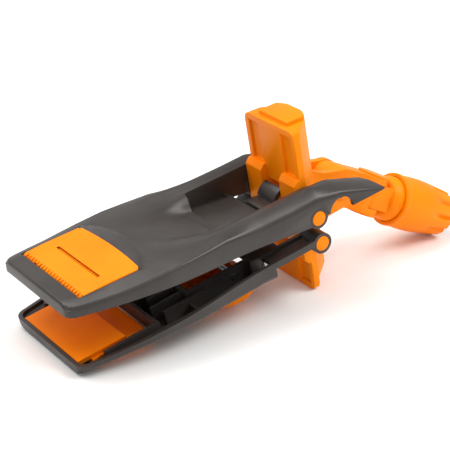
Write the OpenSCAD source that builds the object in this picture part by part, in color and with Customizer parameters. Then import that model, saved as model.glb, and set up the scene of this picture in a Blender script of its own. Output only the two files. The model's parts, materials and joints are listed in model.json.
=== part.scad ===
// Folding flat mop frame, folded for carrying: two hinged wings, a centre body with
// two arms, spring clips for the mop, a foot pedal, a two-axis joint and a pole clamp.
// Millimetres. The hinge axes and the joint's first axis run along Y.

/* [Wings] */
// Length of a wing from its hinge axis to its outer end
wing_length = 188; // [176:1:206]
// Width of a wing at the hinge
wing_width = 92; // [91:0.5:100]
// How much wider a wing is at its widest point
wing_swell = 12; // [4:0.5:20]
// Wall of the moulded wing
wing_wall = 2.6; // [2:0.1:3]
// Depth of the open underside below the hinge axis
rim_depth = 4.6; // [4.2:0.1:5.4]
// Height of the rail over the hinge axis
rail_height = 21.5; // [19:0.5:23]
// Height of the wing's top at the clip's inner edge
clip_deck_height = 8.6; // [8:0.1:9.5]
// Height of the wing's top at its outer end
end_height = 3.6; // [3:0.1:4.4]
// Corner radius of the outer end
end_radius = 8; // [5:0.5:10]
// Length of the upper wing's ears behind its hinge
ear_length = 57; // [50:0.5:60]
// Angle of the folded upper wing to the centre plane
upper_fold = 5; // [4:0.5:6]
// Angle of the folded lower wing to the centre plane
lower_fold = 3; // [3:0.5:5]

/* [Centre body] */
// Distance between the two hinge axes
hinge_spacing = 19; // [18:0.5:21]
// Width of the centre body
body_width = 56.8; // [54:0.2:57]
// Height of the upper arm above the centre plane
upper_arm = 66; // [60:1:68]
// Depth of the lower arm below the centre plane
lower_arm = 55; // [50:1:55]
// Thickness of each arm's plate
arm_plate = 4.5; // [3.5:0.5:6]
// Depth of each arm's box section
arm_depth = 23; // [19:1:25]

/* [Hinge pins] */
// Radius of a hinge pin
pin_radius = 4; // [3:0.1:4.5]
// Radius of a hinge pin's head
pin_head_radius = 5.2; // [4.8:0.1:5.4]
// Radius of the boss round a hinge pin
boss_radius = 7.3; // [6.8:0.1:7.6]

/* [Mop clips] */
// Width of a clip's button
clip_width = 76.8; // [66:0.2:78]
// Length of a clip's button
clip_length = 45.5; // [40:0.5:47]
// Radius of a clip's pivot pin
clip_pin_radius = 1.2; // [0.9:0.1:1.3]

/* [Foot pedal] */
// Width of the foot pedal
pedal_width = 48; // [40:1:49]
// Length of the foot pedal
pedal_length = 45; // [38:1:46]
// Radius of the pedal's pivot pin
pedal_pin_radius = 2; // [1.5:0.1:2.2]

/* [Neck and pole clamp] */
// Distance of the neck's axis behind the hinges
hub_reach = 44; // [43:0.5:50]
// Radius of the neck's hub
hub_radius = 14; // [13:0.5:14]
// Distance between the neck's two axes
neck_length = 36; // [35:0.5:44]
// Radius of the neck's and socket's pivot pins
joint_pin_radius = 4; // [3:0.1:4.5]
// Diameter of the pole that fits the socket
pole_diameter = 23; // [21:0.1:23.4]
// Radial room between the pole and the socket
pole_room = 0.25; // [0.1:0.05:0.3]
// Wall of the socket's tube
socket_wall = 2.75; // [2.5:0.05:3]
// Length of the clamp nut
nut_length = 54; // [50:1:60]

/* [Fits] */
// Gap between pieces that move past each other
gap = 0.8; // [0.5:0.1:1]
// Radial clearance of a shaft that turns in a hole
running_fit = 0.05; // [0.02:0.01:0.09]

/* [Hidden] */

shell = "#4a4643";
orange = "#ff9d0a";
steel = "silver";
far = 400;

hinge_z = hinge_spacing / 2;
body_half = body_width / 2;
slot_half = body_half + gap;
wing_half = wing_width / 2;

// The floor of the arm's pocket lies just in front of the arm when a wing is flat.
arm_front = 0.5;
arm_back = arm_front + arm_plate;
floor_top = arm_front - 0.4;
floor_bottom = floor_top - wing_wall;
upper_reach = upper_arm - hinge_z;
lower_reach = lower_arm - hinge_z;
hump_over = 2.5;
hump_half = 16;
cheek_front = -rim_depth + 0.1;
cheek_top = 28;
channel_half = 10.4;
drum_radius = pin_radius + 7;
floor_start = norm([cheek_top - hinge_z + 3.6, 1.5]) + gap;

// The pocket behind each arm's end.
upper_pocket = norm([upper_reach, arm_back]) + gap / 2;
lower_pocket = norm([lower_reach, arm_back]) + gap / 2;
ramp_start = upper_pocket - 1;
ramp_end = upper_pocket + 55;

// Clips: the button's outer edge, its pivot and its tab under the wing's border.
clip_out = wing_length - 12.4;
clip_in = clip_out - clip_length;
clip_half = clip_width / 2;
clip_gap = 0.6;
clip_pivot = clip_out - 11.5;
clip_pivot_w = 1;
clip_wall = 2.5;
clip_pin_half = clip_half + clip_gap + wing_wall;
tab_out = wing_length - wing_wall - 0.5;
tab_in = clip_out - 26;
tab_half = clip_half - 2.4;
tab_top = -1.4;
tab_bottom = -rim_depth + 0.4;

// The lower wing's rails start where its hinge bosses reach the underside.
rail_start = sqrt(pow(boss_radius, 2) - pow(rim_depth, 2));

// Pedal: its plate starts just past the lower arm's end.
pedal_in = lower_pocket + 0.5;
pedal_out = pedal_in + pedal_length;
pedal_half = pedal_width / 2;
pedal_pivot = pedal_in + 13.5;
pedal_pivot_w = 2;
pedal_top = 26;
pedal_wall = 2.8;
pedal_sweep = 3.2;
window_half = pedal_half + 0.6;

// Neck, socket and nut, along the pole's axis from the neck's first pivot.
hub_z = 2;
ear_in = 9;
ear_out = 14.5;
eye_half = ear_in - 0.3;
tongue_half = 8.7;
prong_in = tongue_half + 0.3;
prong_out = 15;
prong_radius = 12;
socket_start = neck_length + prong_radius + 1;
collar_radius = 16.4;
collar_end = socket_start + 12;
rivet_s = socket_start + 8.5;
rivet_radius = 2.2;
bore_radius = pole_diameter / 2 + pole_room;
thread_radius = bore_radius + socket_wall;
nut_start = neck_length + 22.5;
nut_end = nut_start + nut_length;
thread_end = nut_end - 16.5;
nut_end_radius = thread_radius + 2;
nut_rim_radius = thread_radius + 5;

// The folded frame lies on the lower wing's outer end, the lower arm's tip and the nut.
rest_x = wing_length * cos(lower_fold) - end_height * sin(lower_fold) + arm_front;
rest_z = lower_arm - hinge_z - wing_length * sin(lower_fold) - end_height * cos(lower_fold);
pitch = atan2(rest_z, rest_x);
hub_height = (hub_z + lower_arm) * cos(pitch) + (hub_reach - arm_front) * sin(pitch);
droop = pitch + asin((hub_height - 0.1) / norm([nut_end, nut_end_radius]))
        - atan2(nut_end_radius, nut_end);
lift = lower_arm * cos(pitch) - arm_front * sin(pitch);

// Middle of the folded frame, from the upper wing's outer end to the nut's end.
wing_tip = wing_length * cos(upper_fold - pitch) - end_height * sin(upper_fold - pitch)
           + hinge_z * sin(pitch);
nut_tip = hub_reach * cos(pitch) - hub_z * sin(pitch)
          + nut_end * cos(droop - pitch) + nut_end_radius * sin(droop - pitch);
middle = (nut_tip - wing_tip) / 2;

// Facets along a wing's top. Its shoulders have three more, so no two creases end at one point.
steps = 14;

// ---------- frames ----------

module on_body()
    translate([-middle, 0, lift]) rotate([0, -pitch, 0]) children();

module on_upper()
    on_body() translate([0, 0, hinge_z]) rotate([0, upper_fold, 0]) mirror([1, 0, 0]) children();

module on_lower()
    on_body() mirror([0, 0, 1]) translate([0, 0, hinge_z]) rotate([0, lower_fold, 0])
        mirror([1, 0, 0]) children();

module on_neck()
    on_body() translate([hub_reach, 0, hub_z]) rotate([0, droop, 0]) children();

// ---------- helpers ----------

// Extrudes an outline drawn in X and Z along Y, to half a width each side.
module across(half)
    rotate([90, 0, 0]) linear_extrude(2 * half, center = true) children();

// The same slab on both sides, from one distance to another.
module both_sides(inner, outer)
    for (side = [-1, 1])
        translate([0, side * (inner + outer) / 2, 0]) across((outer - inner) / 2) children();

// A round bar along Y.
module bar_y(radius, from, to)
    translate([0, from, 0]) rotate([-90, 0, 0]) cylinder(r = radius, h = to - from, $fn = 96);

// Turns a shape made along Z to lie along X.
module along_x()
    rotate([0, 90, 0]) children();

module slab(x0, x1, half, z0, z1)
    translate([x0, -half, z0]) cube([x1 - x0, 2 * half, z1 - z0]);

// ---------- wings ----------

// Height of the rail line over the wing: a straight deck, then a rise to the hinge.
function crown(u) =
    let (slope = (clip_deck_height - end_height) / (wing_length - clip_in))
    u >= clip_in ? end_height + slope * (wing_length - u) :
    u >= 0 ? clip_deck_height + (rail_height - clip_deck_height) * pow((clip_in - u) / clip_in, 1.2) :
    rail_height + u * (rail_height - 6.8) / ear_length;

// Half width of the wing: straight rails, a swell, then a narrower outer end.
function half_width(u) =
    let (wide = wing_length * 0.63, start = 40, end = wing_length)
    u < start ? wing_half :
    u < wide ? wing_half + wing_swell / 4 * (1 - cos(180 * (u - start) / (wide - start))) :
    wing_half + wing_swell / 2 - (wing_swell / 2 + 2) * pow((u - wide) / (end - wide), 2);

function top_line(inset, count) =
    let (first = inset - ear_length, last = wing_length - inset)
    [for (i = [0 : count]) let (u = first + (last - first) * i / count) [u, crown(u) - inset]];

function plan_line(inset, last) =
    let (first = inset - ear_length)
    [for (i = [0 : steps]) let (u = first + (last - first) * i / steps) [u, half_width(u) - inset]];

// The wing's outer form, drawn in by an inset, down to a given depth.
module wing_form(inset, depth) {
    first = inset - ear_length;
    last = wing_length - inset;
    radius = end_radius - inset / 2;
    corner_y = half_width(last - radius) - inset - radius;
    edge = concat(plan_line(inset, last - radius),
        [for (a = [75 : -15 : 0]) [last - radius + radius * cos(a), corner_y + radius * sin(a)]]);
    intersection() {
        across(far) polygon(concat(top_line(inset, steps), [[last, -depth], [first, -depth]]));
        translate([0, 0, -far / 2]) linear_extrude(far)
            polygon(concat(edge, [for (i = [len(edge) - 1 : -1 : 0]) [edge[i][0], -edge[i][1]]]));
        shoulders(inset, 27, wing_half - 10, 0, steps + 3);
        shoulders(inset, 36, wing_half - 15, 0.12, steps + 5);
    }
}

// Leans the top away from a rail line on both sides, so the sides fall off.
// rise lifts it along the wing, past the hinge's end.
module shoulders(inset, lean, rail_line, rise, count)
    intersection() {
        shoulder(inset, lean, rail_line, rise, count);
        mirror([0, 1, 0]) shoulder(inset, lean, rail_line, rise, count);
    }

module shoulder(inset, lean, rail_line, rise, count)
    translate([0, rail_line, 0]) rotate([-lean, 0, 0]) rotate([90, 0, 0])
        linear_extrude(2 * far, center = true)
            polygon(concat([for (p = top_line(inset, count))
                                [p[0], (p[1] + rise * max(0, p[0] - 45)) * cos(lean)]],
                [[wing_length - inset, -far], [inset - ear_length, -far]]));

// Walls, floor and openings that both wings share. pocket is how far out the arm reaches.
module wing_base(pocket) {
    difference() {
        union() {
            difference() {
                wing_form(0, rim_depth);
                wing_form(wing_wall, rim_depth + 1);
            }
            intersection() {
                wing_form(0.2, rim_depth);
                union() {
                    both_sides(slot_half, slot_half + wing_wall)
                        polygon([[-ear_length, -rim_depth], [pocket + wing_wall, -rim_depth],
                                 [pocket + wing_wall, far / 4], [-ear_length, far / 4]]);
                    slab(pocket, pocket + wing_wall, slot_half + wing_wall, -rim_depth, far / 4);
                    difference() {
                        slab(clip_in - clip_gap - wing_wall, clip_pivot + 4,
                             clip_half + clip_gap + wing_wall, -rim_depth + 0.4, far / 4);
                        slab(clip_in - clip_gap, clip_pivot + 5, clip_half + clip_gap, -far / 2, far / 2);
                    }
                }
            }
        }
        slab(-far, pocket, slot_half, -far / 2, far / 2);
        slab(clip_in - clip_gap, clip_out + clip_gap + 0.4, clip_half + clip_gap, -far / 2, far / 2);
    }
    slab(floor_start, pocket + 0.5, slot_half + 0.5, floor_bottom, floor_top);
    wing_ribs();
}

// Lengthwise ribs under the deck, and two cross ribs.
module wing_ribs() {
    rib = 1.6;
    rib_start = pedal_out + 8;
    intersection() {
        wing_form(wing_wall - 0.3, rim_depth);
        union() {
            for (i = [-3 : 3])
                translate([0, 10.5 * i, 0])
                    slab(rib_start - 4 * abs(i), clip_in - 6 - 3 * (abs(i) % 2), rib / 2,
                         -rim_depth + 1, far / 4);
            slab(rib_start - rib, rib_start, wing_half + wing_swell, -rim_depth + 2.5, far / 4);
        }
    }
}

// Boss with a running bore and a seat for the pin's head, on both sides.
module hinge_bosses()
    both_sides(slot_half, wing_half) circle(r = boss_radius, $fn = 96);

module hinge_bores() {
    bar_y(pin_radius + running_fit, -far / 4, far / 4);
    for (side = [0, 1])
        mirror([0, side, 0]) bar_y(pin_head_radius + 0.1, wing_half - 1.6, far / 4);
}

// Clip pin holes through the window's side walls.
module clip_pin_holes()
    translate([clip_pivot, 0, clip_pivot_w]) bar_y(clip_pin_radius, -clip_pin_half, clip_pin_half);

module clip_pin_bosses()
    intersection() {
        wing_form(0.2, rim_depth);
        translate([clip_pivot, 0, clip_pivot_w])
            both_sides(clip_half + clip_gap, clip_pin_half + 1) circle(r = 3, $fn = 48);
    }

module upper_wing() {
    color(shell) on_upper() difference() {
        union() {
            difference() {
                wing_base(upper_pocket);
                across(slot_half) polygon(concat(ramp_line(0), [[ramp_end, far], [ramp_start, far]]));
                // The ears start above the lower wing's rails.
                slab(-far, 0, far / 2, -far / 2, 0.4);
            }
            deck_ramp();
            hinge_bosses();
            clip_pin_bosses();
            latch_drum();
        }
        hinge_bores();
        clip_pin_holes();
        // Clears the lower wing's boss when both wings lie flat.
        translate([-hinge_spacing, 0, 0]) bar_y(boss_radius + 2.2, -far / 4, far / 4);
    }
}

// The deck falls gently from the clip's end to the floor of the arm's pocket.
function ramp_line(inset) = [[ramp_start, floor_top - inset], [ramp_end, crown(ramp_end) - inset]];

module deck_ramp()
    intersection() {
        wing_form(0, rim_depth);
        union() {
            across(slot_half + wing_wall / 2) polygon([ramp_line(0)[0], ramp_line(0)[1],
                ramp_line(wing_wall)[1], ramp_line(wing_wall)[0]]);
            both_sides(slot_half, slot_half + wing_wall)
                polygon([[ramp_start, -rim_depth], [ramp_end, -rim_depth],
                         [ramp_end, far], [ramp_start, far]]);
        }
    }

// Round drum between the centre body's cheeks, joined to the pocket's floor.
module latch_drum() {
    half = channel_half - gap;
    difference() {
        across(half) circle(r = drum_radius, $fn = 96);
        across(half + 1) circle(r = drum_radius - 3.2, $fn = 96);
        slab(-far, far, far, -far, floor_bottom);
        slab(-far, 3, far, -far, far);
    }
    slab(drum_radius - 1.5, floor_start + 1, half, floor_bottom, floor_top);
}

module lower_wing() {
    notch_end = ear_length - hinge_spacing + 0.6;
    color(shell) on_lower() difference() {
        union() {
            difference() {
                wing_base(lower_pocket);
                // Rails lowered to let the upper wing's ears lie on them.
                for (side = [0, 1])
                    mirror([0, side, 0])
                        translate([-far, slot_half - 1, 0]) cube([far + notch_end, far, far]);
                slab(-far, -rail_start, far, -far, far);
                // Window for the foot pedal.
                slab(lower_pocket, pedal_out + pedal_sweep, window_half, -far / 2, far / 2);
            }
            rail_lids(notch_end);
            pedal_window();
            hinge_bosses();
            clip_pin_bosses();
        }
        slab(lower_pocket, pedal_out + pedal_sweep, window_half, -far / 2, far / 2);
        hinge_bores();
        clip_pin_holes();
        translate([pedal_pivot, 0, pedal_pivot_w])
            bar_y(pedal_pin_radius, -window_half - wing_wall - 1.4, window_half + wing_wall + 1.4);
    }
}

// Tops of the lowered rails and the walls where they meet the full height.
module rail_lids(notch_end)
    intersection() {
        wing_form(0.2, rim_depth);
        union() {
            both_sides(slot_half, wing_half + 1)
                polygon([[-rail_start, -wing_wall], [notch_end + 1, -wing_wall],
                         [notch_end + 1, 0], [-rail_start, 0]]);
            both_sides(slot_half, wing_half + wing_swell)
                polygon([[notch_end, -wing_wall], [notch_end + wing_wall, -wing_wall],
                         [notch_end + wing_wall, far / 4], [notch_end, far / 4]]);
        }
    }

// Walls round the pedal's window.
module pedal_window()
    intersection() {
        wing_form(0.2, rim_depth);
        difference() {
            slab(lower_pocket, pedal_out + pedal_sweep + wing_wall, window_half + wing_wall + 1,
                 -rim_depth, far / 4);
            slab(lower_pocket - 1, pedal_out + pedal_sweep, window_half, -far / 2, far / 2);
        }
    }

// ---------- centre body ----------

// Plan section of an arm: a plate in front, tapering to the box section behind.
module arm_section() {
    edge = [[arm_front, body_half], [arm_back, body_half], [arm_depth * 0.6, body_half - 7.5],
            [arm_depth * 0.87, hump_half - 1], [arm_depth, hump_half - 8]];
    polygon(concat(edge, [for (i = [4 : -1 : 0]) [edge[i][0], -edge[i][1]]]));
}

// One arm above the centre plane: plate, box section and the hollows in its front.
module arm(plate_end, hump_end) {
    corner = 5;
    chamfer = 1.5;
    edge = [[0, 0], [0, plate_end - corner], [chamfer, plate_end - chamfer], [corner, plate_end]];
    difference() {
        intersection() {
            linear_extrude(plate_end) arm_section();
            translate([-far / 2, 0, 0]) rotate([90, 0, 90]) linear_extrude(far)
                polygon(concat([for (p = edge) [p[0] - body_half, p[1]]],
                               [for (i = [3 : -1 : 0]) [body_half - edge[i][0], edge[i][1]]]));
        }
        // Cuts the box section back to its own end.
        translate([arm_back, -far / 2, hump_end]) cube([far, far, far]);
        front_hollows(plate_end);
    }
    if (hump_end > plate_end)
        intersection() {
            translate([0, 0, plate_end - 1]) linear_extrude(hump_end - plate_end + 1) arm_section();
            slab(arm_back, far, hump_half, 0, far);
        }
}

// Two channels in the front of an arm, with a raised field between them.
module front_hollows(plate_end) {
    rim = 4.5;
    field_half = 12.5;
    start = cheek_top + 4.5;
    for (side = [0, 1])
        mirror([0, side, 0])
            translate([-1, field_half, start])
                cube([1 + arm_front + 3.4, body_half - rim - field_half, plate_end - rim - start]);
}

module centre_body() {
    color(orange) on_body() difference() {
        union() {
            arm(upper_arm, upper_arm + hump_over);
            mirror([0, 0, 1]) arm(lower_arm, lower_arm - 10);
            // Cheeks that fill the slot between the wings' rails.
            across(body_half)
                polygon([[cheek_front, -cheek_top], [-1.5, -cheek_top - 3.6], [arm_back, -cheek_top - 3.6],
                         [arm_back, cheek_top + 3.6], [-1.5, cheek_top + 3.6], [cheek_front, cheek_top]]);
            hub_ears();
        }
        // Channel for the upper wing's drum.
        translate([0, 0, hinge_z]) across(channel_half) circle(r = drum_radius + gap, $fn = 96);
        slab(-far, arm_front, channel_half, 0, far);
        slab(-far, arm_front + 4, channel_half, -cheek_top, 0);
        for (side = [-1, 1])
            translate([0, 0, side * hinge_z])
                for (flip = [0, 1])
                    mirror([0, flip, 0]) bar_y(pin_radius, channel_half + 2.4, body_half + 1);
        translate([hub_reach, 0, hub_z]) bar_y(joint_pin_radius, -far / 4, far / 4);
    }
}

// Fork for the neck, behind the arms.
module hub_ears() {
    root = arm_depth - 10 - hub_reach;
    difference() {
        translate([hub_reach, 0, hub_z]) union() {
            both_sides(ear_in, ear_out) circle(r = hub_radius, $fn = 96);
            both_sides(ear_in, ear_out)
                polygon([[root, -hub_radius - 6], [-hub_radius, -hub_radius - 1],
                         [0, -hub_radius], [0, hub_radius], [-hub_radius, hub_radius + 4],
                         [root + 4, hub_radius + 12], [root, hub_radius + 12]]);
            across(ear_out)
                polygon([[root, -hub_radius - 6], [-hub_radius - 3, -hub_radius - 3],
                         [-hub_radius - 3, hub_radius + 3], [root, hub_radius + 6]]);
        }
        translate([hub_reach, 0, hub_z]) across(ear_in) circle(r = hub_radius + 0.6, $fn = 96);
    }
}

// Two headed pins of one hinge.
module hinge_pins()
    for (side = [0, 1])
        mirror([0, side, 0]) {
            bar_y(pin_radius, channel_half + 2.5, wing_half - 1);
            bar_y(pin_head_radius, wing_half - 1.5, wing_half + 0.3);
        }

module upper_hinge_pins()
    color(orange) on_body() translate([0, 0, hinge_z]) hinge_pins();

module lower_hinge_pins()
    color(orange) on_body() translate([0, 0, -hinge_z]) hinge_pins();

// ---------- clips ----------

// A rocking button with a tab below it that reaches under the wing's outer border.
module clip() {
    button_drop = 0.1;
    difference() {
        union() {
            across(clip_half)
                polygon([[clip_in, crown(clip_in) - button_drop],
                         [clip_out - 1, crown(clip_out) - button_drop],
                         [clip_out, crown(clip_out) - 1], [clip_out, tab_top], [tab_in, tab_bottom + 1],
                         [tab_in, crown(tab_in) - clip_wall - 1],
                         [clip_in, crown(clip_in) - clip_wall - button_drop]]);
            slab(tab_in, tab_out, tab_half, tab_bottom, tab_top);
        }
        // Hollow between the button and the tab.
        across(clip_half - 4)
            polygon([[tab_in + clip_wall, tab_top], [clip_out - clip_wall, tab_top],
                     [clip_out - clip_wall, crown(clip_out) - clip_wall + 0.3],
                     [tab_in + clip_wall, crown(tab_in) - clip_wall - 0.3]]);
        // Finger groove across the button.
        translate([clip_out - 20, 0, 0]) slab(-0.8, 0.8, 27, crown(clip_out - 20) - 1, far);
        translate([clip_pivot, 0, clip_pivot_w]) bar_y(clip_pin_radius + running_fit, -far / 4, far / 4);
        serrations();
        // The tab is narrower than the button, so the corners under it are cleared.
        for (side = [0, 1])
            mirror([0, side, 0]) translate([tab_in - 1, tab_half, -far])
                cube([tab_out - tab_in + 2, far, far + tab_bottom + 2.4]);
    }
}

// Grip teeth along the button's outer edge.
module serrations()
    for (y = [-clip_half + 2 : 3.6 : clip_half - 2])
        translate([clip_out, y, tab_top + 1]) cylinder(r = 0.7, h = far, $fn = 4);

module upper_clip()
    color(orange) on_upper() clip();

module lower_clip()
    color(orange) on_lower() clip();

module clip_pin()
    translate([clip_pivot, 0, clip_pivot_w]) bar_y(clip_pin_radius, -clip_pin_half, clip_pin_half);

module upper_clip_pin()
    color(steel) on_upper() clip_pin();

module lower_clip_pin()
    color(steel) on_lower() clip_pin();

// A close-wound wire coil on a pin, as one ridged sleeve, with two straight legs.
module coil(pin, wire, half, leg_a, leg_b) {
    inner = pin + 0.15;
    turns = floor(2 * half / wire);
    rotate([90, 0, 0]) rotate_extrude($fn = 48) polygon(concat(
        [[inner, half], [inner, -half]],
        [for (i = [0 : turns - 1], edge = [0.1, 0.5, 0.9])
            [inner + wire * (edge == 0.5 ? 1 : 0.7), -half + 2 * half * (i + edge) / turns]]));
    translate([0, half - wire, -inner - wire / 2]) rotate([0, -90, 0])
        cylinder(r = wire / 3, h = leg_a, $fn = 16);
    translate([0, wire - half, -inner - wire / 2]) rotate([0, 90, 0])
        cylinder(r = wire / 3, h = leg_b, $fn = 16);
}

module clip_spring()
    translate([clip_pivot, 0, clip_pivot_w]) coil(clip_pin_radius, 0.5, 6, 7, 6);

module upper_clip_spring()
    color(steel) on_upper() clip_spring();

module lower_clip_spring()
    color(steel) on_lower() clip_spring();

// ---------- foot pedal ----------

// Side outline of the pedal: a rounded hump that falls towards the wing's outer end.
function pedal_line(inset) = [for (i = [0 : 10])
    let (t = i / 10, u = pedal_in + inset + (pedal_length - 2 * inset) * t)
    [u, 13 - inset + (pedal_top - 13) * pow(sin(180 * pow(t * 0.93 + 0.07, 0.55)), 0.7)]];

module foot_pedal() {
    skirt = 6;
    nose = 3.4;
    color(orange) on_lower() difference() {
        across(pedal_half)
            polygon(concat(pedal_line(0), [[pedal_out, skirt + 3], [pedal_pivot + 9, skirt],
                           [pedal_pivot + 4, pedal_pivot_w - 3.6], [pedal_pivot - 4, pedal_pivot_w - 3.6],
                           [pedal_in, skirt]]));
        difference() {
            across(pedal_half - pedal_wall)
                polygon(concat(pedal_line(pedal_wall), [[pedal_out - pedal_wall, -far / 4],
                               [pedal_in - 2, -far / 4], [pedal_in - 2, skirt + nose],
                               [pedal_in + pedal_wall, skirt + nose]]));
            latch_hooks(skirt);
        }
        translate([pedal_pivot, 0, pedal_pivot_w]) bar_y(pedal_pin_radius + running_fit, -far / 4, far / 4);
    }
}

// Two hooks that reach down and in towards the lower arm's end.
module latch_hooks(skirt)
    both_sides(5, 11)
        polygon([[pedal_in, skirt], [pedal_in + 6, skirt - 3], [pedal_in + 6, far / 4], [pedal_in, far / 4]]);

module pedal_pin()
    color(steel) on_lower() translate([pedal_pivot, 0, pedal_pivot_w])
        bar_y(pedal_pin_radius, -window_half - wing_wall - 1, window_half + wing_wall + 1);

module pedal_spring()
    color(steel) on_lower() translate([pedal_pivot, 0, pedal_pivot_w])
        coil(pedal_pin_radius, 1.2, 4.5, 10, 12);

// ---------- neck ----------

// Link between the centre body's fork and the pole socket, with an eye and a fork of its own.
module neck()
    color(orange) on_neck() difference() {
        union() {
            bar_y(hub_radius - 0.5, -eye_half, eye_half);
            slab(0, hub_radius + 4, eye_half, -11.5, 11.5);
            slab(hub_radius + 1.5, neck_length, prong_radius - 0.8, -12.5, 12.5);
            translate([neck_length, 0, -prong_out]) cylinder(r = prong_radius, h = 2 * prong_out, $fn = 96);
        }
        // Gap for the socket's tongue.
        translate([neck_length, 0, -prong_in]) cylinder(r = prong_radius + 0.6, h = 2 * prong_in, $fn = 96);
        slab(neck_length, neck_length + far, far / 4, -prong_in, prong_in);
        bar_y(joint_pin_radius + running_fit, -far / 4, far / 4);
        translate([neck_length, 0, -far / 4]) cylinder(r = joint_pin_radius, h = far / 2, $fn = 96);
    }

module neck_pin()
    color(orange) on_body() translate([hub_reach, 0, hub_z]) {
        bar_y(joint_pin_radius, -ear_out, ear_out + 0.8);
        bar_y(8, -ear_out - 1, -ear_out);
    }

module neck_pin_cap()
    color(orange) on_body() translate([hub_reach, 0, hub_z]) difference() {
        bar_y(8, ear_out, ear_out + 1.8);
        bar_y(joint_pin_radius, ear_out - 1, ear_out + 0.8);
    }

module socket_pin()
    color(orange) on_neck() translate([neck_length, 0, -prong_out])
        cylinder(r = joint_pin_radius, h = 2 * prong_out, $fn = 96);

// ---------- pole socket and clamp ----------

module pole_socket()
    color(orange) on_neck() difference() {
        union() {
            translate([neck_length, 0, -tongue_half])
                cylinder(r = prong_radius - 0.7, h = 2 * tongue_half, $fn = 96);
            slab(neck_length, socket_start + 1, prong_radius - 0.7, -tongue_half, tongue_half);
            along_x() rotate_extrude($fn = 96)
                polygon([[0, socket_start], [11.5, socket_start], [14, socket_start + 1.5],
                         [collar_radius - 0.6, socket_start + 5], [collar_radius, socket_start + 7],
                         [collar_radius, collar_end], [thread_radius, collar_end],
                         [thread_radius, thread_end], [0, thread_end]]);
        }
        along_x() translate([0, 0, collar_end + 0.5]) cylinder(r = bore_radius, h = far, $fn = 96);
        translate([neck_length, 0, -far / 4])
            cylinder(r = joint_pin_radius + running_fit, h = far / 2, $fn = 96);
        translate([rivet_s, 0, 0]) bar_y(rivet_radius, -far / 4, -collar_radius + 4);
    }

module lock_rivet()
    color(orange) on_neck() translate([rivet_s, 0, 0])
        bar_y(rivet_radius, -collar_radius - 0.2, -collar_radius + 4);

// Split taper sleeve that the nut squeezes on to the pole.
module pole_collet()
    color(shell) on_neck() difference() {
        along_x() rotate_extrude($fn = 96)
            polygon([[bore_radius, thread_end + 0.4], [bore_radius + 1.9, thread_end + 0.4],
                     [bore_radius + 1.0, nut_end - 2.6], [bore_radius, nut_end - 2.6]]);
        for (a = [0 : 120 : 240])
            rotate([a, 0, 0]) translate([thread_end - 1, -0.6, 0]) cube([nut_length, 1.2, far / 4]);
    }

// Clamp nut: a plain waist, a rim that laps the socket's collar, and finger lobes at the end.
module clamp_nut() {
    lobes = 10;
    color(orange) on_neck() difference() {
        along_x() rotate_extrude($fn = 96)
            polygon([[collar_radius + 0.5, nut_start], [nut_rim_radius - 0.8, nut_start],
                     [nut_rim_radius, nut_start + 1.2], [nut_rim_radius, nut_start + 3],
                     [nut_rim_radius - 0.5, nut_start + 4.2],
                     [nut_rim_radius + 0.2, nut_start + 16], [nut_rim_radius - 0.4, nut_start + 28],
                     [nut_rim_radius - 1.6, nut_start + 38], [nut_end_radius + 0.6, nut_end - 3],
                     [nut_end_radius, nut_end], [bore_radius + 0.5, nut_end],
                     [bore_radius + 0.5, nut_end - 2],
                     [bore_radius + 1.1, nut_end - 2.1], [bore_radius + 2.1, thread_end],
                     [thread_radius + running_fit, thread_end],
                     [thread_radius + running_fit, collar_end + 0.4],
                     [collar_radius + 0.5, collar_end + 0.4]]);
        for (i = [0 : lobes - 1])
            rotate([360 / lobes * i, 0, 0]) translate([nut_end - 19, 0, nut_end_radius + 4])
                rotate([0, 97, 0]) cylinder(r = 3, h = far / 4, $fn = 24);
    }
}

centre_body();
upper_hinge_pins();
lower_hinge_pins();
upper_wing();
lower_wing();
upper_clip();
lower_clip();
upper_clip_pin();
lower_clip_pin();
upper_clip_spring();
lower_clip_spring();
foot_pedal();
pedal_pin();
pedal_spring();
neck();
neck_pin();
neck_pin_cap();
socket_pin();
pole_socket();
lock_rivet();
pole_collet();
clamp_nut();
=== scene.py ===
import json
import math

import bmesh
import bpy
from mathutils import Matrix, Vector


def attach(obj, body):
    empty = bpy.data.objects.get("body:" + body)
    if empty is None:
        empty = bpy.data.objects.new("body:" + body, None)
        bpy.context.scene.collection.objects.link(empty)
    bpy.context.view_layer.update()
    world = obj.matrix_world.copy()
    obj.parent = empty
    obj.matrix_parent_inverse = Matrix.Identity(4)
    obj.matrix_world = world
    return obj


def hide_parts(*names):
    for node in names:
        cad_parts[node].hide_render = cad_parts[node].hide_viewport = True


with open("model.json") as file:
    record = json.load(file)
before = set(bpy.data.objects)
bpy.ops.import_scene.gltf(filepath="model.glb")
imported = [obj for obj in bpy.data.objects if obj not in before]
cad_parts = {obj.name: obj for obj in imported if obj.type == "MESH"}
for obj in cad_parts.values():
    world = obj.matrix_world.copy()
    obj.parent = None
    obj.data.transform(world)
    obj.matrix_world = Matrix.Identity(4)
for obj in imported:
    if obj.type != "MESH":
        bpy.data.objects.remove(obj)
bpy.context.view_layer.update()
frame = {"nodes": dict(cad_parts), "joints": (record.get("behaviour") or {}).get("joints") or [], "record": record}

# ---------------------------------------------------------------- wings
# Two injection-moulded polypropylene shells, open underneath, that hold the mop by its pockets.
# Each is a crowned deck with shoulders, a pocket for its arm and a window for its clip, and
# hangs on two headed pins.


def linear(code):
    """An sRGB hex colour as linear red, green, blue and alpha."""
    parts = [int(code[i:i + 2], 16) / 255 for i in (1, 3, 5)]
    return [c / 12.92 if c < 0.04045 else ((c + 0.055) / 1.055) ** 2.4 for c in parts] + [1]


def add(tree, kind, sockets=(), **settings):
    """A shader node with its settings, and values for its sockets by name or number."""
    node = tree.nodes.new("ShaderNode" + kind)
    for key, value in settings.items():
        setattr(node, key, value)
    for key, value in dict(sockets).items():
        node.inputs[key].default_value = value
    return node


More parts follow.
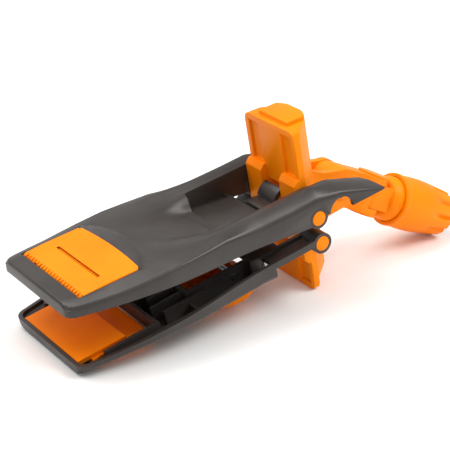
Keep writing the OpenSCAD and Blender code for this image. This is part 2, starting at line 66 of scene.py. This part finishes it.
def moulded(name, base, light, dark, rough, grain, flow, shine):
    """Moulded plastic: a fine spark-eroded grain in mm, slow flow marks and light handling scratches.

    A satin skin, a little glossier where it is rubbed.
    """
    mat = bpy.data.materials.new(name)
    mat.use_nodes = True
    tree = mat.node_tree
    tree.nodes.clear()
    out = add(tree, "OutputMaterial")
    shader = add(tree, "BsdfPrincipled", {"IOR": 1.49, "Specular IOR Level": shine})
    place = add(tree, "TexCoord")
    # Slow colour drift of the melt.
    drift = add(tree, "TexNoise", {"Scale": flow, "Detail": 3, "Roughness": 0.55})
    tint = add(tree, "ValToRGB")
    tint.color_ramp.elements[0].position = 0.3
    tint.color_ramp.elements[0].color = linear(dark)
    tint.color_ramp.elements[1].position = 0.7
    tint.color_ramp.elements[1].color = linear(light)
    middle = tint.color_ramp.elements.new(0.5)
    middle.color = linear(base)
    # Scratches run mostly along the object.
    stretch = add(tree, "Mapping", {"Scale": (40, 900, 700), "Rotation": (0, 0, 0.06)})
    scratch = add(tree, "TexNoise", {"Scale": 1, "Detail": 2, "Roughness": 0.6})
    thin = add(tree, "MapRange", {"From Min": 0.62, "From Max": 0.72})
    worn = add(tree, "Mix", data_type="RGBA")
    worn.inputs[7].default_value = linear(light)
    share = add(tree, "Math", {1: 0.22}, operation="MULTIPLY")
    # Gloss varies with smudges.
    smudge = add(tree, "TexNoise", {"Scale": 38, "Detail": 4, "Roughness": 0.6})
    gloss = add(tree, "MapRange", {"From Min": 0.3, "From Max": 0.7,
                                   "To Min": rough - 0.06, "To Max": rough + 0.08})
    # The mould's grain.
    cells = add(tree, "TexNoise", {"Scale": 1000 / grain, "Detail": 2, "Roughness": 0.5})
    relief = add(tree, "Bump", {"Strength": 0.35, "Distance": 0.00004})
    sink = add(tree, "TexNoise", {"Scale": 16, "Detail": 1})
    waves = add(tree, "Bump", {"Strength": 0.25, "Distance": 0.0001})
    link = tree.links.new
    for node in (drift, smudge, cells, sink, stretch):
        link(place.outputs["Object"], node.inputs["Vector"])
    link(stretch.outputs["Vector"], scratch.inputs["Vector"])
    link(drift.outputs["Fac"], tint.inputs["Fac"])
    link(scratch.outputs["Fac"], thin.inputs["Value"])
    link(thin.outputs["Result"], share.inputs[0])
    link(share.outputs[0], worn.inputs[0])
    link(tint.outputs["Color"], worn.inputs[6])
    link(worn.outputs[2], shader.inputs["Base Color"])
    link(smudge.outputs["Fac"], gloss.inputs["Value"])
    link(gloss.outputs["Result"], shader.inputs["Roughness"])
    link(cells.outputs["Fac"], relief.inputs["Height"])
    link(sink.outputs["Fac"], waves.inputs["Height"])
    link(relief.outputs["Normal"], waves.inputs["Normal"])
    link(waves.outputs["Normal"], shader.inputs["Normal"])
    link(shader.outputs["BSDF"], out.inputs["Surface"])
    return mat


shell_plastic = moulded("warm_grey_polypropylene", "#37322f", "#3e3936", "#312d2a",
                        0.36, 0.35, 22, 0.38)
orange_plastic = moulded("orange_nylon", "#f88500", "#fc8d02", "#f27c00",
                         0.42, 0.3, 18, 0.12)

# The joints give the body's own axes: X towards the handle, Z from hinge to hinge.
joints = {j["name"]: j for j in frame["joints"]}
hinge_a = Vector(joints["upper_wing_fold"]["pos_m"])
hinge_b = Vector(joints["lower_wing_fold"]["pos_m"])
body_z = (hinge_a - hinge_b).normalized()
body_y = Vector((0, 1, 0))
body_x = body_y.cross(body_z)


def axes(origin, x, y, z):
    """Takes millimetres along three directions to the shared frame's metres."""
    turn = Matrix((x, y, z)).transposed().to_4x4()
    return Matrix.Translation(origin) @ turn @ Matrix.Scale(0.001, 4)


def wing_axes(origin, up, fold):
    """A wing's own axes: U from its hinge to its outer end, W towards its working side."""
    c, s = math.cos(math.radians(fold)), math.sin(math.radians(fold))
    u = -body_x * c + up * s
    w = body_x * s + up * c
    return axes(origin, u, w.cross(u), w)


on_body = axes((hinge_a + hinge_b) / 2, body_x, body_y, body_z)
on_upper = wing_axes(hinge_a, body_z, 5)
on_lower = wing_axes(hinge_b, -body_z, 3)


def prism(outline, low, high):
    """A closed solid: an outline in X and Z, run along Y."""
    bm = bmesh.new()
    face = bm.faces.new([bm.verts.new((x, low, z)) for x, z in outline])
    new = bmesh.ops.extrude_face_region(bm, geom=[face])["geom"]
    moved = [g for g in new if isinstance(g, bmesh.types.BMVert)]
    bmesh.ops.translate(bm, verts=moved, vec=(0, high - low, 0))
    bmesh.ops.recalc_face_normals(bm, faces=bm.faces)
    return bm


def block(x0, x1, y0, y1, z0, z1):
    return prism([(x0, z0), (x1, z0), (x1, z1), (x0, z1)], y0, y1)


def plate(outline, low, high):
    """A closed solid: an outline in X and Y, run along Z."""
    bm = prism(outline, -high, -low)
    bm.transform(Matrix.Rotation(-math.pi / 2, 4, "X"))
    return bm


def ring(radius, x=0, z=0, sides=72):
    turn = 2 * math.pi / sides
    return [(x + radius * math.cos(turn * i), z + radius * math.sin(turn * i))
            for i in range(sides)]


def join(*parts):
    """Several solids in one mesh."""
    whole = bmesh.new()
    for part in parts:
        scratch = bpy.data.meshes.new("scratch")
        part.to_mesh(scratch)
        whole.from_mesh(scratch)
        bpy.data.meshes.remove(scratch)
        part.free()
    return whole


def carve(bm, tools, operation="DIFFERENCE"):
    """Cuts tools out of a solid, adds them to it, or keeps what they share."""
    held = []
    for part in (bm, join(*tools)):
        mesh = bpy.data.meshes.new("scratch")
        part.to_mesh(mesh)
        part.free()
        held.append(bpy.data.objects.new("scratch", mesh))
        bpy.context.scene.collection.objects.link(held[-1])
    step = held[0].modifiers.new("cut", "BOOLEAN")
    step.operation = operation
    step.solver = "EXACT"
    step.use_self = len(tools) > 1
    step.object = held[1]
    graph = bpy.context.evaluated_depsgraph_get()
    result = bpy.data.meshes.new_from_object(held[0].evaluated_get(graph))
    bm = bmesh.new()
    bm.from_mesh(result)
    bpy.data.meshes.remove(result)
    for o in held:
        mesh = o.data
        bpy.data.objects.remove(o)
        bpy.data.meshes.remove(mesh)
    return bm


def soften(bm, width, sharp=28, segments=2):
    """Rounds the sharp edges as a mould does."""
    bmesh.ops.remove_doubles(bm, verts=bm.verts, dist=0.02)
    bmesh.ops.dissolve_limit(bm, angle_limit=math.radians(0.6), verts=bm.verts, edges=bm.edges)
    edges = [e for e in bm.edges if e.is_manifold and e.calc_face_angle(0) > math.radians(sharp)]
    bmesh.ops.bevel(bm, geom=edges, offset=width, offset_type="OFFSET", segments=segments,
                    profile=0.5, affect="EDGES", material=-1, clamp_overlap=True)
    return bm


def piece(name, bm, where, finish, body, slot, *nodes):
    """Puts a finished mesh in the frame, with its material, its body and the nodes it stands for."""
    bm.transform(where)
    bmesh.ops.recalc_face_normals(bm, faces=bm.faces)
    mesh = bpy.data.meshes.new(name)
    bm.to_mesh(mesh)
    bm.free()
    mesh.materials.append(finish)
    mesh.shade_smooth()
    mesh.set_sharp_from_angle(angle=math.radians(32))
    made = bpy.data.objects.new(name, mesh)
    bpy.context.scene.collection.objects.link(made)
    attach(made, body)
    if nodes:
        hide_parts(*nodes)
    return made


wing_length, ear_length, rim_depth, wing_wall = 188, 57, 4.6, 2.6
slot_half, wing_half, wing_swell, end_radius = 29.2, 46, 5.9, 8
clip_in, clip_out, clip_half, clip_gap = 130.1, 175.6, 38.4, 0.6
edge_round, clip_bow = 2, 2.4
# How far the upper deck falls from its rails to its edge, along the wing.
edge_fall = ((-60, 3), (-20, 3.5), (0, 8), (20, 9), (45, 8.5), (60, 6), (75, 3.2), (110, 2.4),
             (135, 3.8), (155, 4.2), (172, 3.2), (190, 2))


def crown(u):
    """Height of the deck over the wing's hinge."""
    if u > clip_in:
        return 3.6 + 0.0864 * (wing_length - u)
    if u > 0:
        return 8.6 + 12.9 * ((clip_in - u) / clip_in) ** 1.2
    return 21.5 + u * 14.7 / ear_length


def half_width(u):
    """Straight rails, a swell, then a narrower outer end."""
    wide = wing_length * 0.63
    if u < 40:
        return wing_half
    if u < wide:
        return wing_half + wing_swell / 2 * (1 - math.cos(math.pi * (u - 40) / (wide - 40)))
    return wing_half + wing_swell - 7.9 * ((u - wide) / (wing_length - wide)) ** 2


def ease(x):
    """A soft step from 0 to 1."""
    x = min(max(x, 0), 1)
    return x * x * (3 - 2 * x)


def deck(u, y, ramped):
    """Height of the working side: rails, a dish between them, shoulders and a finger scoop."""
    rail = crown(u)
    if ramped:
        # The rails are highest near their outer side.
        rail -= 4.5 * ease((u + 20) / 20) * ease((112 - u) / 50) * (1 - ease((y - 28) / 12))
    if ramped and 50 < u < 116:
        dish = 0.1 + (crown(116) - 0.1) * max(0, (u - 56) / 60) ** 1.1
        far = ease((u - 57) / 45)
        rail = dish + (rail - dish) * ease((y - 19 + 11 * far) / (8 + 15 * far))
    half = half_width(u)
    if ramped:
        for (a, fall_a), (b, fall_b) in zip(edge_fall, edge_fall[1:]):
            if u >= a:
                fall = fall_a + (fall_b - fall_a) * (u - a) / (b - a)
        drop = fall * max(0, (y - 34) / (half - 34)) ** 1.5
    else:
        drop = max((y - 36 + math.hypot(y - 36, 1.2)) / 2 * 0.5095,
                   (y - 31 + math.hypot(y - 31, 1.2)) / 2 * 0.7265 - 0.12 * max(0, u - 45))
    # Rounded along the edge and round the outer corners.
    along, across = u - wing_length + end_radius, y - half + end_radius
    if min(along, across) > 0:
        rim = end_radius - math.hypot(along, across)
    else:
        rim = min(wing_length - u, half - y)
    if rim < edge_round:
        drop += edge_round - math.sqrt(edge_round ** 2 - (edge_round - max(rim, 0)) ** 2)
    reach = 13 * math.sqrt(max(0, 1 - (y / 38.5) ** 2))
    scoop, inner = 0, clip_in + clip_bow * (y / clip_half) ** 2
    if reach and 0 <= inner + 1 - u < reach:
        scoop = 3.4 * (1 - ((inner + 1 - u) / reach) ** 2)
    return rail - drop - scoop


def wing_form(inset, depth, ramped):
    """The wing's outer form, drawn in by an inset: a crowned sheet closed below, cut to its plan."""
    first, last = inset - ear_length, wing_length - inset
    bm = bmesh.new()
    bmesh.ops.create_grid(bm, x_segments=150, y_segments=60, size=1)
    for v in bm.verts:
        t = (v.co.x + 1) / 2
        # The rows crowd together at the rounded edges.
        if t < 0.94:
            u = first - 1 + (last - first - 1.5) * t / 0.94
        else:
            u = last - 2.5 + (t - 0.94) / 0.06 * 3.5
        half = half_width(u)
        bands = ((0, 0), (0.4, 27), (0.5, 32), (0.64, half - 2.4), (0.94, half + 0.1), (1, 57))
        across = abs(v.co.y)
        for (a, ya), (b, yb) in zip(bands, bands[1:]):
            if across >= a:
                y = ya + (across - a) / (b - a) * (yb - ya)
        v.co = (u, math.copysign(y, v.co.y), max(deck(u, y, ramped) - inset, -4.2))
    new = bmesh.ops.extrude_face_region(bm, geom=bm.faces[:])["geom"]
    for g in new:
        if isinstance(g, bmesh.types.BMVert):
            g.co.z = -depth
    bmesh.ops.recalc_face_normals(bm, faces=bm.faces)
    radius = end_radius - inset / 2
    corner = half_width(last - radius) - inset - radius
    edge = [(u, half_width(u) - inset)
            for u in (first + (last - radius - first) * i / 60 for i in range(61))]
    edge += [(last - radius + radius * math.cos(a), corner + radius * math.sin(a))
             for a in (math.radians(75 - 7.5 * i) for i in range(11))]
    return carve(bm, [plate(edge + [(u, -y) for u, y in reversed(edge)], -60, 60)], "INTERSECT")


def both(outline, inner, outer):
    """The same solid on both sides of the middle."""
    return [prism(outline, inner, outer), prism(outline, -outer, -inner)]


def wing(pocket, is_lower):
    """One wing, hollow below. pocket is how far out its arm reaches."""
    window_half, window_end = 24.6, 94.87
    floor_start, floor_low, floor_high = 22.95, -2.5, 0.1
    frame_in, frame_half = clip_in - clip_gap - wing_wall, clip_half + clip_gap + wing_wall
    walls = both([(-80, -20), (pocket + wing_wall, -20), (pocket + wing_wall, 60), (-80, 60)],
                 slot_half, slot_half + wing_wall)
    # Lengthwise ribs of staggered length, and one across.
    walls += [block(100 - 5 * abs(i), clip_in - 8 - 4 * (i % 2), 10.5 * i - 1, 10.5 * i + 1, -3.4, 40)
              for i in range(-3, 4)]
    walls += [block(98.4, 100, -60, 60, 0, 40), block(50, 168, -47.4, -46, -3, 40),
              block(50, 168, 46, 47.4, -3, 40)]
    walls.append(block(frame_in, frame_in + wing_wall, -frame_half, frame_half, -20, 60))
    walls += both([(frame_in, -20), (168, -20), (168, 60), (frame_in, 60)],
                  clip_half + clip_gap, frame_half)
    if is_lower:
        walls += both([(pocket, -20), (window_end + wing_wall, -20), (window_end + wing_wall, 60),
                       (pocket, 60)], window_half, window_half + wing_wall)
        walls.append(block(window_end, window_end + wing_wall, -window_half, window_half, -20, 60))
        walls.append(block(pocket, pocket + wing_wall, -slot_half - 1, slot_half + 1, -20, 60))
    inside = carve(wing_form(wing_wall, rim_depth + 1, not is_lower), walls)
    bow = [(clip_in - clip_gap + clip_bow * (y / 39) ** 2, y) for y in range(-39, 40, 3)]
    cuts = [inside,
            plate([(-80, -slot_half), (pocket - 1.5, -slot_half), (pocket - 0.4, 0.4 - slot_half),
                   (pocket, 1.5 - slot_half), (pocket, slot_half - 1.5), (pocket - 0.4, slot_half - 0.4),
                   (pocket - 1.5, slot_half), (-80, slot_half)], -60, 60),
            plate([(clip_out + 1, -39)] + bow + [(clip_out + 1, 39)], -60, 60)]
    if is_lower:
        cuts.append(block(pocket - 1, window_end, -window_half, window_half, -60, 60))
    bm = wing_form(0, rim_depth, not is_lower)
    for tool in cuts:
        bm = carve(bm, [tool])
    floor = block(floor_start, pocket + 0.5, -slot_half - 0.5, slot_half + 0.5, floor_low, floor_high)
    return carve(bm, [floor], "UNION")


def bossed(bm):
    """Adds the round hinge bosses with their pin seats."""
    boss_radius, seat_radius, seat_depth = 7.3, 5.3, 1.6
    bm = carve(bm, both(ring(boss_radius - 0.1), slot_half - 2, 60))
    bosses = [carve(prism(ring(boss_radius), side * (slot_half + 0.1), side * (wing_half - 0.05)),
                    [prism(ring(seat_radius), side * (wing_half - seat_depth), side * 60)])
              for side in (1, -1)]
    return join(bm, *bosses)


upper = wing(57.12, False)
# A deeper channel beside each rail for the arm's rim.
upper = carve(upper, both([(26, -1.3), (56, -1.3), (56, 30), (26, 30)], 23.5, slot_half))
# The ears' sloping undersides and slanted tips.
upper = carve(upper, [prism([(-80, -60), (0, -60), (0, 0.4), (-28, 0.4), (-80, 6.4)], -60, 60)])
for side in (1, -1):
    tip = [(-80, side * 28), (-46.3, side * 28), (-58.1, side * 48), (-80, side * 48)]
    upper = carve(upper, [plate(tip, -60, 60)])
upper = carve(upper, [prism(ring(9.5, -19, 0), -80, 80)])
# The latch drum round the hinge, and the tongue that carries it.
drum = carve(prism(ring(11), -9.6, 9.6),
             [prism(ring(7.8), -12, 12), block(-60, 60, -60, 60, -60, -2.5),
              block(-60, 3, -60, 60, -60, 60)])
tongue = [drum, block(9, 21.6, -9.5, 9.5, -1.4, 1.3), block(9.3, 24, -9.55, 9.55, -2.6, -1)]
upper = join(bossed(upper), *tongue)
soften(upper, 0.6)
piece("upper_wing_shell", upper, on_upper, shell_plastic, "upper_wing", "dark_plastic", "upper_wing")

lower = wing(46.17, True)
notch_end = ear_length - 19 + 0.6
lower = carve(lower, both([(-80, 0), (notch_end, 0), (notch_end, 80), (-80, 80)], slot_half - 1, 80))
lower = carve(lower, [block(-80, -5.67, -80, 80, -80, 80)])
strips = both([(-5.5, -2.6), (notch_end + 0.6, -2.6), (notch_end + 0.6, -0.05), (-5.5, -0.05)],
              slot_half + 0.1, wing_half - 0.1)
lower = join(bossed(join(lower, *strips)))
soften(lower, 0.6)
piece("lower_wing_shell", lower, on_lower, shell_plastic, "lower_wing", "dark_plastic", "lower_wing")


# ---------------------------------------------------------------- centre body and hinge pins
# One stiff orange moulding: two arms back to back, cheeks between the wings' rails, and the
# neck's fork. Four headed pins join it to the wings.

def from_node(node):
    """A merged copy of a designed solid's mesh."""
    bm = bmesh.new()
    bm.from_mesh(frame["nodes"][node].data)
    bmesh.ops.remove_doubles(bm, verts=bm.verts, dist=0.000001)
    bmesh.ops.scale(bm, vec=(1000, 1000, 1000), verts=bm.verts)
    return bm


def softened(node, width, body, finish, slot):
    """The designed solid with its edges rounded, in its own place."""
    bm = soften(from_node(node), width)
    return piece(node + "_moulded", bm, Matrix.Scale(0.001, 4), finish, body, slot, node)


arms = from_node("centre_body")
arms.transform(on_body.inverted() @ Matrix.Scale(0.001, 4))
bmesh.ops.dissolve_limit(arms, angle_limit=math.radians(0.6), verts=arms.verts, edges=arms.edges)
# The box section behind each plate is a smooth D.
upright = [e for e in arms.edges if e.calc_length() > 12 and min(v.co.x for v in e.verts) > 12
           and abs(e.verts[0].co.z - e.verts[1].co.z) > 0.98 * e.calc_length()
           and e.calc_face_angle(0) > 0.3]
bmesh.ops.bevel(arms, geom=upright, offset=2.5, offset_type="OFFSET", segments=4, profile=0.5,
                affect="EDGES", material=-1, clamp_overlap=True)
arms = carve(arms, both([(2.2, 32.3), (4.2, 32.3), (4.2, 61.7), (2.2, 61.7)], 12.3, 24.1)
             + both([(2.2, -50.7), (4.2, -50.7), (4.2, -32.3), (2.2, -32.3)], 12.3, 24.1), "UNION")
soften(arms, 0.9, segments=3)
piece("centre_body_moulded", arms, on_body, orange_plastic, "centre", "orange_plastic", "centre_body")
softened("upper_hinge_pins", 0.6, "centre", orange_plastic, "orange_plastic")
softened("lower_hinge_pins", 0.6, "centre", orange_plastic, "orange_plastic")

# ---------------------------------------------------------------- mop clips
# Orange rocking buttons moulded in nylon, each on a steel pin with a small spring. They have a
# bowed inner edge, a groove across and grip teeth along the outer edge.

groove_u, groove_half, tooth_pitch, tooth_width = 155.6, 27, 3.6, 1.6
for side, where in (("upper", on_upper), ("lower", on_lower)):
    clip = from_node(side + "_clip")
    clip.transform(where.inverted() @ Matrix.Scale(0.001, 4))
    top = crown(156) - 0.1
    bow = [(clip_in + clip_bow * (y / clip_half) ** 2 + 1.6 * ease((abs(y) - 35.4) / 3), y)
           for y in range(-45, 46)]
    cuts = [plate([(120, -45)] + bow + [(120, 45)], -60, 60),
            # The outer part falls away a little, to a rounded edge with teeth.
            prism([(158, crown(158) - 0.1), (173, crown(173) - 0.7), (174.6, crown(174.6) - 1.3),
                   (175.7, crown(175.6) - 2.6), (180, 0), (180, 30), (158, 30)], -50, 50),
            prism([(groove_u - 1.7, top + 0.9), (groove_u + 1.7, top + 0.9), (groove_u + 0.6, top - 1.1),
                   (groove_u - 0.6, top - 1.1)], -groove_half, groove_half)]
    for tool in cuts:
        clip = carve(clip, [tool])
    teeth = [prism([(172.2, 8), (172.2, 4.4), (174, 2.6), (176, 1), (180, 1), (180, 8)],
                   y - tooth_width / 2, y + tooth_width / 2)
             for y in (-34.2 + tooth_pitch * i for i in range(20))]
    clip = carve(clip, [join(*teeth)])
    soften(clip, 0.3)
    node = side + "_clip"
    piece(node + "_button", clip, where, orange_plastic, node, "orange_plastic", node)

# ---------------------------------------------------------------- foot pedal
# An orange nylon hump in the lower wing, hollow below, on a steel pin. Stepping on it frees the
# lower arm.

pedal = soften(from_node("foot_pedal"), 0.9, segments=3)
piece("foot_pedal_moulded", pedal, Matrix.Scale(0.001, 4), orange_plastic, "foot_pedal", "orange_plastic",
      "foot_pedal")

# ---------------------------------------------------------------- neck
# A solid orange nylon link with an eye and a fork, so its two pins are at right angles. The eye
# sits in the centre body's fork.

neck_pos = Vector(joints["neck_swing"]["pos_m"])
tilt_pos = Vector(joints["socket_tilt"]["pos_m"])
neck_s = (tilt_pos - neck_pos).normalized()
on_neck = axes(neck_pos, neck_s, body_y, neck_s.cross(body_y))
neck_length, eye_radius, eye_half = 36, 13.5, 8.7
head_radius, cap_radius, cap_top, gap_radius, gap_half = 11.9, 11.5, 15, 12.8, 9
side = prism(ring(eye_radius)[18:55] + [(neck_length, -13.4), (44, -11), (48, -6), (48, 6), (44, 11),
                                        (neck_length, 13.4)], -14, 14)
plan_edge = [(-16, eye_half), (13, eye_half), (19, 10), (25, 11.6)]
plan_edge += [(neck_length + head_radius * math.cos(a), head_radius * math.sin(a))
              for a in (math.radians(90 - 9 * i) for i in range(11))]
plan = plate(plan_edge + [(x, -y) for x, y in reversed(plan_edge[:-1])], -30, 30)
link_body = carve(side, [plan], "INTERSECT")
for top in (1, -1):
    boss = prism(ring(cap_radius, neck_length), cap_top - 3, cap_top)
    bmesh.ops.rotate(boss, verts=boss.verts, cent=(0, 0, 0),
                     matrix=Matrix.Rotation(top * math.pi / 2, 3, "X"))
    link_body = carve(link_body, [boss], "UNION")
rounded = [e for e in link_body.edges if e.calc_face_angle(0) > 0.6]
bmesh.ops.bevel(link_body, geom=rounded, offset=1.6, offset_type="OFFSET", segments=4, profile=0.5,
                affect="EDGES", material=-1, clamp_overlap=True)
fork_gap = prism(ring(gap_radius, neck_length), -gap_half, gap_half)
bmesh.ops.rotate(fork_gap, verts=fork_gap.verts, cent=(0, 0, 0),
                 matrix=Matrix.Rotation(math.pi / 2, 3, "X"))
link_body = carve(link_body, [fork_gap])
link_body = carve(link_body, [block(neck_length, 60, -20, 20, -gap_half, gap_half)])
link_body = carve(link_body, [prism(ring(4.05), -20, 20)])
soften(link_body, 0.3)
piece("neck_link", link_body, on_neck, orange_plastic, "neck", "orange_plastic", "neck")
softened("neck_pin", 0.5, "centre", orange_plastic, "orange_plastic")
softened("neck_pin_cap", 0.5, "centre", orange_plastic, "orange_plastic")

# ---------------------------------------------------------------- pole socket and clamp nut
# The socket's collar and thread, moulded in nylon, and a fluted nut that squeezes a split taper
# on the pole.

softened("pole_socket", 0.5, "socket", orange_plastic, "orange_plastic")

# The nut's section, from its rim to its mouth: rim bead, belly and taper, then the bore back.
lobes, lobe_start, lobe_depth = 10, 88, 2.6
outer = [(58.5, 18.7), (59, 19.3), (60, 19.5), (61.4, 19.5), (62.3, 19.1), (63, 18.9), (66, 19.05),
         (70, 19.3), (74, 19.5), (78, 19.55), (82, 19.5), (86, 19.3), (90, 19.0), (94, 18.6), (98, 18.2),
         (102, 17.8), (106, 17.4), (109, 17.1), (111, 16.8), (112, 16.4), (112.5, 15.9)]
inner_line = [(112.5, 12.3), (110.5, 12.3), (110.4, 12.9), (96, 13.9), (96, 14.6), (61.4, 14.6),
              (61.4, 16.9), (58.5, 16.9)]
nut = bmesh.new()
loop = [nut.verts.new((x, 0, z)) for x, z in outer + inner_line]
edges = [nut.edges.new((a, b)) for a, b in zip(loop, loop[1:] + loop[:1])]
bmesh.ops.spin(nut, geom=loop + edges, cent=(0, 0, 0), axis=(1, 0, 0), dvec=(0, 0, 0),
               angle=2 * math.pi, steps=180, use_merge=True, use_duplicate=False)
bmesh.ops.recalc_face_normals(nut, faces=nut.faces)
for v in nut.verts:
    r = math.hypot(v.co.y, v.co.z)
    if r > 15.3 and v.co.x > lobe_start:
        a = math.atan2(v.co.z, v.co.y)
        groove = max(0, math.cos(lobes * a)) ** 2
        cut = lobe_depth * groove * ease((v.co.x - lobe_start) / 12) * (0.4 if r < 16 else 1)
        v.co.y *= (r - cut) / r
        v.co.z *= (r - cut) / r
piece("clamp_nut_fluted", nut, on_neck, orange_plastic, "clamp_nut", "orange_plastic", "clamp_nut")

# ---------------------------------------------------------------- hidden pins and springs
# Drawn steel rod pins and wire springs, the neck's pins, the rivet and the nut's split sleeve.
# They stay as designed and only take their finishes.

# Bright drawn wire: a grey metal with fine lines that vary its gloss.
steel = bpy.data.materials.new("drawn_steel")
steel.use_nodes = True
tree = steel.node_tree
shader = tree.nodes["Principled BSDF"]
shader.inputs["Base Color"].default_value = linear("#b9bbbd")
shader.inputs["Metallic"].default_value = 1
lines = add(tree, "TexNoise", {"Scale": 900, "Detail": 2})
sheen = add(tree, "MapRange", {"To Min": 0.25, "To Max": 0.42})
place = add(tree, "TexCoord")
tree.links.new(place.outputs["Object"], lines.inputs["Vector"])
tree.links.new(lines.outputs["Fac"], sheen.inputs["Value"])
tree.links.new(sheen.outputs["Result"], shader.inputs["Roughness"])
finishes = {"steel": steel, "orange_plastic": orange_plastic, "dark_plastic": shell_plastic}
slots = {p["node"]: p["material_slot"] for p in frame["record"]["subparts"]}
for name, node in frame["nodes"].items():
    node.data.materials.clear()
    node.data.materials.append(finishes[slots[name]])

# ---------------------------------------------------------------- floor, light and camera
# A plain pale table under large soft lights, and a long lens from the near corner of the
# wings' outer end.

bpy.ops.mesh.primitive_plane_add(size=8, location=(0, 0, 0))
floor = bpy.context.object
floor.name = "floor"
paper = bpy.data.materials.new("pale_floor")
paper.use_nodes = True
paper.node_tree.nodes["Principled BSDF"].inputs["Base Color"].default_value = linear("#f4f3f1")
paper.node_tree.nodes["Principled BSDF"].inputs["Roughness"].default_value = 0.7
floor.data.materials.append(paper)

sky = bpy.data.worlds.new("studio")
sky.use_nodes = True
sky.node_tree.nodes["Background"].inputs["Color"].default_value = (1, 1, 1, 1)
sky.node_tree.nodes["Background"].inputs["Strength"].default_value = 0.6
bpy.context.scene.world = sky


def soft_light(name, size, power, place, target):
    lamp = bpy.data.lights.new(name, "AREA")
    lamp.shape = "RECTANGLE"
    lamp.size, lamp.size_y = size
    lamp.energy = power
    made = bpy.data.objects.new(name, lamp)
    made.location = place
    made.rotation_euler = (Vector(target) - Vector(place)).to_track_quat("-Z", "Y").to_euler()
    bpy.context.scene.collection.objects.link(made)


soft_light("key", (0.9, 0.5), 13, (0.75, -0.6, 1.15), (0, 0, 0.05))
soft_light("top", (1.2, 1.2), 21, (-0.4, 0.5, 1.5), (0, 0, 0.05))
soft_light("fill", (1.6, 1.0), 1.5, (-0.9, -1.3, 0.7), (0, 0, 0.05))
bpy.context.scene.view_settings.view_transform = "Standard"

lens = bpy.data.cameras.new("camera")
lens.lens = 118.65
lens.clip_start = 0.05
camera = bpy.data.objects.new("camera", lens)
camera.location = (-0.52669, -0.75790, 0.45501)
camera.rotation_euler = [math.radians(a) for a in (66.148, 0.697, -33.715)]
bpy.context.scene.collection.objects.link(camera)
bpy.context.scene.camera = camera
